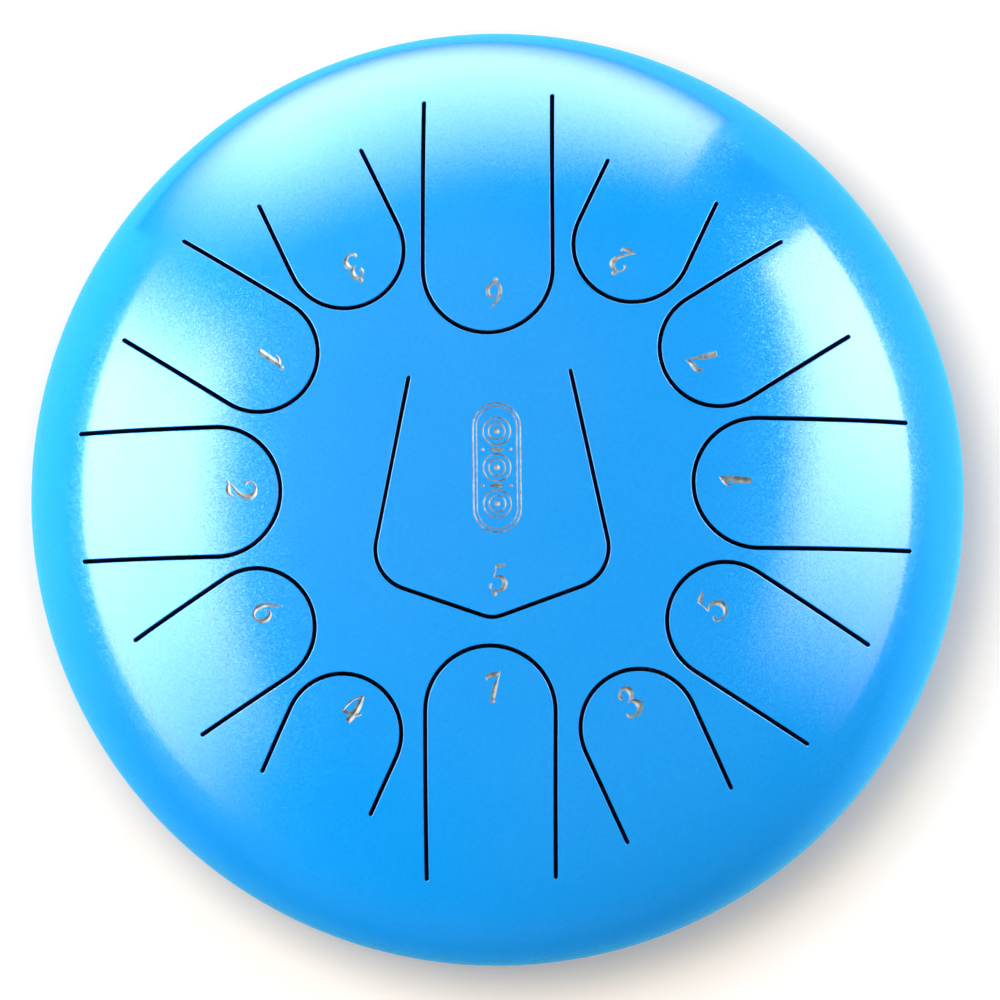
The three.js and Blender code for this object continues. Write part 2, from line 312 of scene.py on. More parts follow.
# ---------------------------------------------------------------- engraved strokes


def stroke(points, widths, closed=False, per_span=9):
    """A pen stroke through points, as its left and right edges. Widths are full widths at the points."""
    rows = np.column_stack([np.asarray(points, float), widths])
    if closed:
        padded = np.concatenate([rows[-1:], rows, rows[:2]])
    else:
        padded = np.concatenate([2 * rows[:1] - rows[1:2], rows, 2 * rows[-1:] - rows[-2:-1]])
    t = (np.arange(per_span) / per_span)[:, None]
    spans = []
    for a, b, c, d in zip(padded, padded[1:], padded[2:], padded[3:]):
        bend = 2 * b + (c - a) * t + (2 * a - 5 * b + 4 * c - d) * t**2 + (3 * b - a - 3 * c + d) * t**3
        spans.append(bend / 2)
    line = np.concatenate(spans if closed else [*spans, rows[-1:]])
    ahead = np.roll(line, -1, axis=0)[:, :2] - np.roll(line, 1, axis=0)[:, :2]
    if not closed:
        ahead[0] = line[1, :2] - line[0, :2]
        ahead[-1] = line[-1, :2] - line[-2, :2]
    ahead /= np.linalg.norm(ahead, axis=1)[:, None]
    side = np.column_stack([-ahead[:, 1], ahead[:, 0]]) * np.maximum(line[:, 2:], 0.01) / 2
    return line[:, :2] + side, line[:, :2] - side, closed


def placed(strokes, centre, up, size=1.0):
    """Strokes moved to centre, with their own +Y turned to up."""
    turn = np.column_stack([-left_of(up), up]) * size
    return [(left @ turn.T + centre, right @ turn.T + centre, closed) for left, right, closed in strokes]


def dot(x, y, radius):
    """A filled dot, as a stroke that swells to the dot's width and shrinks again."""
    shares = np.array([-1, -0.9, -0.6, 0, 0.6, 0.9, 1])
    line = [(x, y + radius * share) for share in shares]
    return stroke(line, 2 * radius * np.sqrt(1 - shares**2), per_span=3)


# Each number is a few strokes of a broad italic pen, in a box one unit tall: (points, widths).
NUMBERS = {
    "1": [
        ([(0.06, 0.96), (0.04, 0.6), (0.01, 0.25), (-0.01, 0.02)], [0.16, 0.2, 0.2, 0.18]),
        ([(0.12, 1.02), (-0.01, 0.9), (-0.13, 0.78), (-0.19, 0.62)], [0.02, 0.11, 0.08, 0.02]),
    ],
    "2": [
        (
            [(-0.15, 0.62), (-0.22, 0.73), (-0.15, 0.9), (0.03, 0.96), (0.21, 0.87), (0.27, 0.7),
             (0.16, 0.46), (-0.06, 0.24), (-0.28, 0.05)],
            [0.1, 0.08, 0.05, 0.1, 0.18, 0.19, 0.13, 0.07, 0.04],
        ),
        (
            [(-0.29, 0.05), (-0.17, 0.1), (0.0, 0.08), (0.16, 0.13), (0.24, 0.27)],
            [0.03, 0.09, 0.15, 0.12, 0.03],
        ),
    ],
    "3": [
        (
            [(-0.11, 0.68), (-0.15, 0.79), (-0.06, 0.92), (0.08, 0.94), (0.2, 0.83), (0.19, 0.67),
             (0.07, 0.54), (-0.04, 0.5)],
            [0.14, 0.1, 0.07, 0.11, 0.2, 0.17, 0.08, 0.03],
        ),
        (
            [(-0.02, 0.51), (0.11, 0.49), (0.22, 0.37), (0.21, 0.2), (0.08, 0.08), (-0.08, 0.05),
             (-0.21, 0.13), (-0.22, 0.24)],
            [0.03, 0.09, 0.2, 0.2, 0.12, 0.09, 0.13, 0.08],
        ),
    ],
    "4": [
        ([(0.04, 0.95), (-0.13, 0.75), (-0.23, 0.5), (-0.28, 0.24)], [0.05, 0.06, 0.06, 0.05]),
        (
            [(-0.29, 0.22), (-0.1, 0.28), (0.1, 0.33), (0.22, 0.39), (0.28, 0.48)],
            [0.05, 0.13, 0.13, 0.1, 0.03],
        ),
        ([(0.04, 0.97), (0.08, 0.65), (0.08, 0.35), (0.03, 0.03)], [0.08, 0.18, 0.19, 0.18]),
    ],
    "5": [
        ([(-0.06, 0.92), (0.06, 0.92), (0.18, 0.94), (0.28, 0.99)], [0.06, 0.14, 0.12, 0.02]),
        ([(-0.05, 0.96), (-0.09, 0.74), (-0.15, 0.52)], [0.05, 0.05, 0.04]),
        (
            [(-0.15, 0.52), (0.02, 0.57), (0.18, 0.48), (0.25, 0.32), (0.2, 0.15), (0.06, 0.05),
             (-0.12, 0.04), (-0.25, 0.12), (-0.27, 0.25), (-0.2, 0.31)],
            [0.03, 0.08, 0.15, 0.19, 0.17, 0.11, 0.06, 0.07, 0.09, 0.06],
        ),
    ],
    "6": [
        (
            [(0.13, 0.99), (0.0, 0.81), (-0.14, 0.59), (-0.2, 0.36), (-0.17, 0.16), (-0.03, 0.05),
             (0.14, 0.11), (0.24, 0.29), (0.2, 0.48), (0.07, 0.56), (-0.04, 0.47)],
            [0.02, 0.08, 0.13, 0.15, 0.12, 0.08, 0.11, 0.15, 0.13, 0.06, 0.02],
        ),
    ],
    "7": [
        (
            [(-0.27, 0.66), (-0.22, 0.79), (-0.06, 0.86), (0.1, 0.88), (0.25, 0.99)],
            [0.03, 0.14, 0.17, 0.14, 0.02],
        ),
        ([(0.24, 0.97), (0.15, 0.68), (0.04, 0.38), (-0.05, 0.04)], [0.03, 0.08, 0.17, 0.18]),
    ],
}
MARK_HEIGHT = 10.2  # a number, with its dot if it has one
OCTAVE_DOT = 0.8  # radius


def number_strokes(note):
    """A note's number in millimetres about its middle, with an octave dot above or below it."""
    octave, _, digit = note.rpartition("_")
    height = MARK_HEIGHT - 1.7 * OCTAVE_DOT if octave else MARK_HEIGHT
    bottom = -MARK_HEIGHT / 2
    if octave == "low":
        bottom = MARK_HEIGHT / 2 - height
    strokes = [
        stroke([(x * height, y * height + bottom) for x, y in points], [w * height for w in widths])
        for points, widths in NUMBERS[digit]
    ]
    ends = [point for points, _ in NUMBERS[digit] for point in points]
    inset = MARK_HEIGHT / 2 - OCTAVE_DOT
    if octave == "low":
        strokes.append(dot(min(ends, key=lambda end: end[1])[0] * height, -inset, OCTAVE_DOT))
    if octave == "high":
        strokes.append(dot(max(ends, key=lambda end: end[1])[0] * height, inset, OCTAVE_DOT))
    return strokes


def capsule_line(half_width, half_height, width):
    """A closed line round an upright capsule."""
    straight = half_height - half_width
    top = [half_width * unit(a) + (0, straight) for a in range(0, 181, 20)]
    sides = [(-half_width, straight / 3), (-half_width, -straight / 3)]
    bottom = [half_width * unit(a) - (0, straight) for a in range(180, 361, 20)]
    sides_up = [(half_width, -straight / 3), (half_width, straight / 3)]
    line = [*top, *sides, *bottom, *sides_up]
    return stroke(line, [width] * len(line), closed=True, per_span=3)


def ring_line(x, y, radius, width):
    return stroke(circle((x, y), radius, 12), [width] * 12, closed=True, per_span=4)


def ornament_strokes():
    """Ripples spreading in a slim capsule, with lozenges between them."""
    line = 0.5
    strokes = [capsule_line(7.4, 20.3, line), capsule_line(6.3, 19.2, line * 0.7)]
    for y in (-11.4, 0, 11.4):
        strokes += [ring_line(0, y, radius, line) for radius in (4.3, 2.6)]
        strokes.append(dot(0, y, 0.95))
    for y in (-5.7, 5.7):
        strokes.append(stroke([(-2.6, y), (0, y), (2.6, y)], [0.05, 1.5, 0.05], per_span=4))
        strokes += [dot(x, y, 0.5) for x in (-4.4, 4.4)]
    return strokes


# ---------------------------------------------------------------- meshes


def in_scene(name, data):
    """A new object in the scene that holds data."""
    made = bpy.data.objects.new(name, data)
    bpy.context.scene.collection.objects.link(made)
    return made


def ring(turn, radius, height):
    """Points round Z at the angles in turn. The radius is one number or one for each point."""
    return np.column_stack([radius * np.cos(turn), radius * np.sin(turn), np.full(len(turn), height)])


class Skin:
    """A mesh put together from blocks of points and faces, with a normal for each face corner."""

    def __init__(self):
        self.points, self.faces, self.normals, self.slots = [], [], [], []
        self.count = 0

    def add(self, points, faces, normals, slot=PAINT_SLOT):
        """Normals are one per point, or a single one for all."""
        normals = np.broadcast_to(normals, np.shape(points))
        self.points.append(points)
        for face in faces:
            self.faces.append([self.count + i for i in face])
            self.normals.append([normals[i] for i in face])
            self.slots.append(slot)
        self.count += len(points)

    def strip(self, rows, normals, closed=False, slot=PAINT_SLOT):
        """Quads between neighbouring rows of points."""
        rows = np.asarray(rows)
        deep, wide = rows.shape[:2]
        columns = [(i, (i + 1) % wide) for i in range(wide if closed else wide - 1)]
        faces = [
            (k * wide + i, k * wide + j, (k + 1) * wide + j, (k + 1) * wide + i)
            for k in range(deep - 1)
            for i, j in columns
        ]
        normals = np.broadcast_to(normals, rows.shape).reshape(-1, 3)
        self.add(rows.reshape(-1, 3), faces, normals, slot)

    def build(self, name, materials):
        """The Blender object, with like points merged and each face turned to face along its normals."""
        points = np.concatenate(self.points)
        keys = np.floor(points / MERGE_CELL + 0.317)  # the odd shift keeps round values off cell edges
        _, first, merged = np.unique(keys, axis=0, return_index=True, return_inverse=True)
        merged = merged.ravel()
        points = points[first]
        faces, normals, slots = [], [], []
        for face, corner_normals, slot in zip(self.faces, self.normals, self.slots):
            corners = [(merged[i], n) for i, n in zip(face, corner_normals)]
            corners = [c for k, c in enumerate(corners) if c[0] != corners[k - 1][0]]
            if len(corners) < 3:
                continue
            p = points[[c[0] for c in corners]]
            facing = np.cross(p[1] - p[0], p[-1] - p[0]) + np.cross(p[2] - p[1], p[0] - p[1])
            if facing @ sum(c[1] for c in corners) < 0:
                corners.reverse()
            faces.append([int(c[0]) for c in corners])
            normals += [c[1] for c in corners]
            slots.append(slot)
        mesh = bpy.data.meshes.new(name)
        mesh.from_pydata((points * MM).tolist(), [], faces)
        for material in materials:
            mesh.materials.append(material)
        mesh.polygons.foreach_set("material_index", slots)
        mesh.shade_smooth()
        lengths = np.linalg.norm(normals, axis=1)[:, None]
        mesh.normals_split_custom_set((np.array(normals) / lengths).tolist())
        return in_scene(name, mesh)


def triangulated(bowl, outline, holes, strokes, spacing):
    """Plan points, triangles between them, and which triangles are engraved, over one face's region."""
    lines = [(loop, True) for loop in (outline, *holes)]
    for left, right, closed in strokes:
        if closed:
            lines += [(left, True), (right, True), ((left + right) / 2, True)]
        else:
            lines += [(np.concatenate([left, right[::-1]]), True), ((left + right)[1:-1] / 2, False)]
    edges = []
    count = 0
    for line, closed in lines:
        ends = len(line) if closed else len(line) - 1
        edges += [(count + i, count + (i + 1) % len(line)) for i in range(ends)]
        count += len(line)
    given = np.concatenate([line for line, _ in lines])
    flat = bowl.spread(given)
    border = bowl.spread(outline)
    low, high = border.min(axis=0), border.max(axis=0)
    columns = np.arange(low[0], high[0], spacing)
    heights = np.arange(low[1], high[1], spacing * math.sqrt(3) / 2)
    grid = np.array([(x + (k % 2) * spacing / 2, y) for k, y in enumerate(heights) for x in columns])
    keep = inside(grid, border)
    for hole in holes:
        keep &= ~inside(grid, bowl.spread(hole))
    grid = grid[keep]
    nearest = [
        np.hypot(*(part[:, None] - flat).transpose(2, 0, 1)).min(axis=1)
        for part in np.array_split(grid, 20)
    ]
    grid = grid[np.concatenate(nearest) > spacing / 2]
    vectors = [Vector(p) for p in np.concatenate([flat, grid])]
    verts, _, faces, sources, _, _ = delaunay_2d_cdt(vectors, edges, [], 0, 1e-5)
    laid = np.array([tuple(v) for v in verts])
    known = np.concatenate([given, bowl.unspread(grid)])
    crossings = bowl.unspread(laid)
    plan = np.array([known[s[0]] if s else crossings[i] for i, s in enumerate(sources)])
    triangles = np.array(faces)
    middles = laid[triangles].mean(axis=1)
    kept = inside(middles, border)
    for hole in holes:
        kept &= ~inside(middles, bowl.spread(hole))
    triangles, middles = triangles[kept], middles[kept]
    engraved = np.zeros(len(triangles), bool)
    for left, right, closed in strokes:
        left, right = bowl.spread(left), bowl.spread(right)
        for i, j in spans(left, closed):
            engraved |= inside(middles, np.array([left[i], left[j], right[j], right[i]]))
    return plan, triangles, engraved


def spans(line, closed):
    """The index pairs of neighbouring points of a line."""
    count = len(line)
    return [(i, (i + 1) % count) for i in range(count if closed else count - 1)]


def groove_depth(plan, strokes):
    """How deep the strokes' V-shaped grooves are at plan points, with 0 outside them."""
    depth = np.zeros(len(plan))
    for left, right, closed in strokes:
        middle, half = (left + right) / 2, np.linalg.norm(left - right, axis=1) / 2
        for i, j in spans(left, closed):
            along = middle[j] - middle[i]
            length = np.linalg.norm(along)
            share = (plan - middle[i]) @ along / length**2
            off = np.abs((plan - middle[i]) @ left_of(along)) / length
            here = (half[i] + (half[j] - half[i]) * share - off) * GROOVE_SLOPE
            here[(share < -0.05) | (share > 1.05)] = 0
            depth = np.maximum(depth, here)
    return depth


def add_face(skin, bowl, outline, holes, strokes=(), inner=False, slot=PAINT_SLOT):
    """One face of a slotted sheet, its engraving cut into it as bare steel."""
    spacing = INNER_SPACING if inner else OUTER_SPACING
    plan, triangles, engraved = triangulated(bowl, outline, holes, strokes, spacing)
    points, normals = bowl.lift(plan, inner)
    skin.add(points, triangles[~engraved], normals, slot)
    if not engraved.any():
        return
    depth = groove_depth(plan, strokes)
    depth[triangles[~engraved].ravel()] = 0
    sunk, _ = bowl.lift(plan, inner, depth)
    for face in triangles[engraved]:
        a, b, c = sunk[face]
        facing = np.cross(b - a, c - a)
        if np.linalg.norm(facing) > 1e-9:
            skin.add(sunk[face], [(0, 1, 2)], facing * np.sign(facing @ normals[face[0]]), STEEL_SLOT)


def rounded_rows(bowl, wall, into, rounding=EDGE_ROUNDING):
    """Rows over a cut edge, round from the outer face, down the wall and round to the inner face."""
    rows, normals = [], []
    for inner, angles in ((False, ROUNDING_ANGLES), (True, ROUNDING_ANGLES[::-1])):
        for angle in angles:
            plan = wall - into * rounding * (1 - math.sin(angle))
            points, facing = bowl.lift(plan, inner, rounding * (1 - math.cos(angle)))
            rows.append(points)
            flat = np.column_stack([into, np.zeros(len(into))])
            normals.append(facing * math.cos(angle) + flat * math.sin(angle))
    return rows, normals


def add_root_face(skin, bowl, track, outwards):
    """The hidden face where a tongue and the bowl meet along the root."""
    wall, into = tongue_wall(track)
    insets = EDGE_ROUNDING * (1 - np.sin(ROUNDING_ANGLES))
    drops = EDGE_ROUNDING * (1 - np.cos(ROUNDING_ANGLES))
    right = [wall[-1] - into[-1] * inset for inset in insets[::-1]]
    left = [wall[0] - into[0] * inset for inset in insets]
    plan = np.array([*right, *root_line(track), *left])
    drop = np.zeros(len(plan))
    drop[: len(drops)] = drops[::-1]
    drop[-len(drops) :] = drops
    top, _ = bowl.lift(plan, False, drop)
    bottom, _ = bowl.lift(plan, True, drop)
    skin.strip([top, bottom], np.append(outwards, 0))


def tongue_skin(name, track, strokes):
    """A tongue, from the root that it bends at to its tip."""
    skin = Skin()
    wall, into = tongue_wall(track)
    outline = np.concatenate([wall - into * EDGE_ROUNDING, root_line(track)])
    add_face(skin, upper_bowl, outline, [], strokes)
    add_face(skin, upper_bowl, outline, [], inner=True, slot=INSIDE_SLOT)
    skin.strip(*rounded_rows(upper_bowl, wall, into))
    across = wall[0] - wall[-1]
    add_root_face(skin, upper_bowl, track, -left_of(across))
    return skin.build(name, sheet_materials)


def ring_rows(bowl, radii, inner):
    """Rows of points round the bowl at plan radii, on one face, and their normals."""
    lifted = [bowl.lift(circle((0, 0), r, TURNS), inner) for r in radii]
    return [points for points, _ in lifted], [normals for _, normals in lifted]


def add_band(skin, bowl):
    """The plain band outside the slotted cap, out to the rim and back up its inner face."""
    outer_rows, outer_normals = ring_rows(bowl, bowl.band_radii(False), False)
    inner_rows, inner_normals = ring_rows(bowl, bowl.band_radii(True), True)
    skin.strip(outer_rows, outer_normals, closed=True)
    skin.strip(inner_rows, inner_normals, closed=True, slot=INSIDE_SLOT)
    skin.strip([outer_rows[-1], inner_rows[-1]], (0, 0, -bowl.sign), closed=True)


def upper_shell_skin(tracks):
    skin = Skin()
    add_band(skin, upper_bowl)
    windows = []
    for track in tracks:
        wall, into = shell_wall(track)
        windows.append(np.concatenate([wall - into * EDGE_ROUNDING, root_line(track)]))
        skin.strip(*rounded_rows(upper_bowl, wall, into))
        add_root_face(skin, upper_bowl, track, left_of(wall[0] - wall[-1]))
    rim = circle((0, 0), BAND_RADIUS, TURNS)
    add_face(skin, upper_bowl, rim, windows)
    add_face(skin, upper_bowl, rim, windows, inner=True, slot=INSIDE_SLOT)
    return skin.build("upper_bowl", sheet_materials)


def foot_centres():
    return [FOOT_CIRCLE * unit((i + 0.5) * 360 / FEET) for i in range(FEET)]


def lower_shell_skin():
    skin = Skin()
    add_band(skin, lower_bowl)
    holes = [((0, 0), SOUND_HOLE_RADIUS, 144)]
    holes += [(centre, SCREW_RADIUS + GAP, 24) for centre in foot_centres()]
    windows = []
    for centre, radius, count in holes:
        wall = circle(centre, radius, count)
        into = (np.array(centre) - wall) / radius
        windows.append(wall - into * EDGE_ROUNDING)
        rows, normals = rounded_rows(lower_bowl, wall, into)
        skin.strip(rows, normals, closed=True)
    rim = circle((0, 0), BAND_RADIUS, TURNS)
    add_face(skin, lower_bowl, rim, windows)
    add_face(skin, lower_bowl, rim, windows, inner=True, slot=INSIDE_SLOT)
    return skin.build("lower_bowl", sheet_materials)


def weld_skin():
    """A dressed weld: a low painted bead over both rims, with the faint ripple of its passes."""
    half, proud, ripples = 2.4, 0.42, 220
    turn = full_turn(TURNS * 5)
    ripple = 0.015 * np.sin(turn * ripples) + 0.015 * np.sin(turn * 37 + 1)
    rows, normals = [], []
    for share in np.linspace(-1, 1, 11):
        swell = (proud - 0.12 + ripple) * (1 - share**2) - 0.05
        rows.append(ring(turn, SEAM_RADIUS + swell, SEAM_HEIGHT + share * half))
        normals.append(ring(turn, 1, share * 0.35))
    back = SEAM_RADIUS - SHEET - 0.3
    for share in (1, -1):
        rows.append(ring(turn, back, SEAM_HEIGHT + share * half * 0.5))
        normals.append(ring(turn, -1, 0))
    rows.append(rows[0])
    normals.append(normals[0])
    skin = Skin()
    skin.strip(rows, normals, closed=True)
    return skin.build("weld_bead", [blue_paint])


# ---------------------------------------------------------------- feet


def ring_piece(name, rings, material, closed=False):
    """A piece skinned over rings of points, in millimetres. Closed joins the last ring to the first."""
    rings = np.array(rings)
    count, segments = rings.shape[:2]
    faces = []
    for k in range(count if closed else count - 1):
        after = (k + 1) % count
        for i in range(segments):
            j = (i + 1) % segments
            faces.append([k * segments + i, k * segments + j, after * segments + j, after * segments + i])
    mesh = bpy.data.meshes.new(name)
    mesh.from_pydata((rings.reshape(-1, 3) * MM).tolist(), [], faces)
    clean(mesh)
    mesh.materials.append(material)
    return in_scene(name, mesh)


def lathe(name, profile, material, segments=48):
    """A body of revolution about Z from a profile of (radius, height) points, in millimetres."""
    return ring_piece(name, [ring(full_turn(segments), r, z) for r, z in profile], material)


def clean(mesh):
    """Merges like points, turns the faces outwards and shades them smooth between sharp edges."""
    work = bmesh.new()
    work.from_mesh(mesh)
    bmesh.ops.remove_doubles(work, verts=work.verts, dist=1e-7)
    bmesh.ops.dissolve_degenerate(work, edges=work.edges, dist=1e-8)
    bmesh.ops.recalc_face_normals(work, faces=work.faces)
    work.to_mesh(mesh)
    work.free()
    mesh.shade_smooth()
    mesh.set_sharp_from_angle(angle=SHARP_ANGLE)


def filleted(profile, radius, steps=4):
    """A closed or axis-to-axis profile with each corner rounded by up to radius."""
    points = [np.array(p, float) for p in profile]
    rounded = [points[0]]
    for before, corner, after in zip(points, points[1:], points[2:]):
        a, b = before - corner, after - corner
        reach = min(radius, np.linalg.norm(a) * 0.45, np.linalg.norm(b) * 0.45)
        start, stop = corner + a / np.linalg.norm(a) * reach, corner + b / np.linalg.norm(b) * reach
        for k in range(steps + 1):
            t = k / steps
            rounded.append((1 - t) ** 2 * start + 2 * t * (1 - t) * corner + t**2 * stop)
    return [tuple(p) for p in [*rounded, points[-1]]]


def foot_frame(centre):
    """The matrix of a foot: its origin on the lower bowl's outer face, and +Z in through the steel."""
    points, normals = lower_bowl.lift([centre])
    inwards = Vector(-normals[0])
    matrix = inwards.to_track_quat("Z", "Y").to_matrix().to_4x4()
    matrix.translation = Vector(points[0]) * MM
    return matrix


def rubber_foot(name, matrix):
    """A moulded foot: a cone that leans from the bowl's slope to the level floor, with a screw well.

    Its profile is of radii and shares of the way down from the steel to the floor.
    """
    profile = filleted(
        [
            (SCREW_RADIUS + GAP, 0),
            (FOOT_TOP_RADIUS, 0),
            (FOOT_TOP_RADIUS, 0.22),
            (FOOT_TOP_RADIUS - 0.5, 0.3),
            (FOOT_TOP_RADIUS - 0.5, 0.38),
            (FOOT_TOP_RADIUS - 0.15, 0.44),
            (FOOT_FLOOR_RADIUS, 1),
            (FOOT_WELL_RADIUS + 1.4, 1),
            (FOOT_WELL_RADIUS + 1.1, 0.96),
            (FOOT_WELL_RADIUS + 0.5, 1),
            (FOOT_WELL_RADIUS, 0.97),
            (FOOT_WELL_RADIUS, 0.38),
            (SCREW_RADIUS + GAP, 0.38),
            (SCREW_RADIUS + GAP, 0.001),
        ],
        0.35,
    )
    segments = 64
    origin = np.array(matrix.translation) / MM
    axis = np.array(matrix.col[2][:3])
    across = np.array(matrix.to_3x3())[:, :2]
    floor_point = origin - axis * origin[2] / axis[2]
    rows = []
    for radius, depth in profile:
        spokes = circle((0, 0), radius, segments)
        sloped = origin - axis * GAP + spokes @ across.T
        level = floor_point + np.column_stack([spokes @ across.T[:, :2], np.zeros(segments)])
        depth = min(max(depth, 0), 1)
        rows.append(sloped * (1 - depth) + level * depth)
    return ring_piece(name, rows, rubber, closed=True)


def washer(name, bottom):
    inner, outer, top = SCREW_RADIUS + GAP, WASHER_RADIUS, bottom + WASHER_THICKNESS
    section = [(inner, bottom + 0.5), (inner, bottom), (outer, bottom), (outer, top), (inner, top),
               (inner, bottom + 0.5)]
    return lathe(name, filleted(section, 0.2), zinc)


def cut(piece, tool):
    """Takes the tool's solid away from the piece's."""
    modifier = piece.modifiers.new("cut", "BOOLEAN")
    modifier.operation = "DIFFERENCE"
    modifier.solver = "EXACT"
    modifier.object = tool
    bpy.context.view_layer.update()
    evaluated = piece.evaluated_get(bpy.context.evaluated_depsgraph_get())
    mesh = bpy.data.meshes.new_from_object(evaluated)
    piece.modifiers.clear()
    piece.data = mesh
    bpy.data.objects.remove(tool)
    clean(mesh)


def cross_tool(bottom):
    """A tapered four-winged driver tip, pointing up from bottom."""
    mesh = bpy.data.meshes.new("driver")
    half, narrow, depth, wing = 2.3, 0.9, 1.9, 0.42
    outline = [(half, wing), (wing, wing), (wing, half), (-wing, half), (-wing, wing), (-half, wing),
               (-half, -wing), (-wing, -wing), (-wing, -half), (wing, -half), (wing, -wing), (half, -wing)]
    low = [(x * 1.1, y * 1.1, bottom - 0.6) for x, y in outline]
    shrink = narrow / half
    high = [(x * shrink if abs(x) > wing else x, y * shrink if abs(y) > wing else y, bottom + depth)
            for x, y in outline]
    count = len(outline)
    faces = [list(range(count))[::-1], [count + i for i in range(count)]]
    faces += [[i, (i + 1) % count, count + (i + 1) % count, count + i] for i in range(count)]
    mesh.from_pydata((np.array(low + high) * MM).tolist(), [], faces)
    return in_scene("driver", mesh)


def foot_screw(name, head_top):
    bottom, tip = head_top - HEAD_HEIGHT, head_top + SCREW_LENGTH
    threads = []
    pitch = 0.8
    z = head_top + 5
    while z < tip - 1.2:
        threads += [(SCREW_RADIUS, z), (SCREW_RADIUS, z + 0.15), (SCREW_RADIUS - 0.4, z + 0.42),
                    (SCREW_RADIUS - 0.4, z + 0.5)]
        z += pitch
    dome = [(HEAD_RADIUS * math.sin(a) ** 0.8, head_top - 1.2 - (HEAD_HEIGHT - 1.2) * math.cos(a) ** 0.9)
            for a in np.linspace(0.02, math.pi / 2, 12)]
    profile = [(0.001, bottom), *dome, (HEAD_RADIUS, head_top - 0.15), (HEAD_RADIUS - 0.15, head_top),
               (SCREW_RADIUS, head_top), *threads, (SCREW_RADIUS, tip - 0.8), (SCREW_RADIUS - 0.8, tip),
               (0.001, tip)]
    screw = lathe(name, profile, zinc, 40)
    cut(screw, cross_tool(bottom))
    return screw


def lock_nut(name, bottom):
    """A hexagon with chamfered corners, topped by the turned collar that holds its nylon ring."""
    top = bottom + NUT_HEIGHT
    corner = NUT_ACROSS_FLATS / math.sqrt(3)
    flat = NUT_ACROSS_FLATS / 2
    bore = SCREW_RADIUS + 0.05
    turn = full_turn(72)
    hexagon = flat / np.cos((turn + math.pi / 6) % (math.pi / 3) - math.pi / 6)
    chamfer = 0.45
    levels = [
        (bore, bottom + 0.3),
        (bore + 0.3, bottom),
        (np.minimum(hexagon, corner - chamfer), bottom),
        (hexagon, bottom + chamfer * 0.6),
        (hexagon, top - chamfer * 0.6),
        (np.minimum(hexagon, corner - chamfer), top),
        (flat - 0.35, top),
        (flat - 0.35, top + NUT_COLLAR_HEIGHT - 0.5),
        (flat - 0.9, top + NUT_COLLAR_HEIGHT),
        (bore + 0.2, top + NUT_COLLAR_HEIGHT - 0.2),
        (bore, top + NUT_COLLAR_HEIGHT - 0.4),
    ]
    rows = [ring(turn, radius, height) for radius, height in levels]
    return ring_piece(name, rows, zinc, closed=True)


def place(piece, matrix):
    piece.data.transform(matrix)
    return piece


def feet():
    """Each foot's pieces, on the places of their CAD nodes."""
    for i, centre in enumerate(foot_centres()):
        number = i + 1
        matrix = foot_frame(centre)
        outer_washer = -FOOT_WEB - GAP - WASHER_THICKNESS
        inner_washer = SHEET + GAP
        pieces = {
            "foot_washer": place(washer(f"under_washer_{number}", outer_washer), matrix),
            "foot_screw": place(foot_screw(f"cross_screw_{number}", outer_washer - GAP), matrix),
            "inside_washer": place(washer(f"inner_washer_{number}", inner_washer), matrix),
            "lock_nut": place(lock_nut(f"nylon_nut_{number}", inner_washer + WASHER_THICKNESS + GAP), matrix),
            "rubber_foot": rubber_foot(f"moulded_foot_{number}", matrix),
        }
        for node, piece in pieces.items():
            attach(piece, "shell")
            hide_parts(f"{node}_{number}")


# ---------------------------------------------------------------- materials


def material(name):
    """A new node material: itself, its nodes, its links and its Principled shader."""
    made = bpy.data.materials.new(name)
    made.use_nodes = True
    nodes, links = made.node_tree.nodes, made.node_tree.links
    return made, nodes, links, nodes["Principled BSDF"]


def object_noise(nodes, links, scale, detail=2.0, kind="ShaderNodeTexNoise"):
    """A texture in the object's own space. Scale is in features per metre."""
    position = nodes.new("ShaderNodeTexCoord")
    texture = nodes.new(kind)
    texture.inputs["Scale"].default_value = scale
    if kind == "ShaderNodeTexNoise":
        texture.inputs["Detail"].default_value = detail
    links.new(position.outputs["Object"], texture.inputs["Vector"])
    return texture


def ramp(nodes, links, source, low, high, start=0.0, stop=1.0):
    """Maps a texture's value from start..stop to low..high."""
    node = nodes.new("ShaderNodeMapRange")
    node.inputs["From Min"].default_value = start
    node.inputs["From Max"].default_value = stop
    node.inputs["To Min"].default_value = low
    node.inputs["To Max"].default_value = high
    links.new(source, node.inputs["Value"])
    return node.outputs["Result"]


def mix_colours(nodes, links, share, first, second, socket):
    blend = nodes.new("ShaderNodeMix")
    blend.data_type = "RGBA"
    blend.inputs["A"].default_value = (*first, 1)
    blend.inputs["B"].default_value = (*second, 1)
    links.new(share, blend.inputs["Factor"])
    links.new(blend.outputs["Result"], socket)


def two_tone(nodes, links, shader, noise, first, second, start, stop):
    """A base colour that drifts from first to second as the noise goes from start to stop."""
    share = ramp(nodes, links, noise.outputs["Fac"], 0, 1, start, stop)
    mix_colours(nodes, links, share, first, second, shader.inputs["Base Color"])


def relief(nodes, links, source, strength, distance, socket):
    """Fine relief from a texture. Distance is in metres."""
    bump = nodes.new("ShaderNodeBump")
    bump.inputs["Strength"].default_value = strength
    bump.inputs["Distance"].default_value = distance
    links.new(source, bump.inputs["Height"])
    links.new(bump.outputs["Normal"], socket)


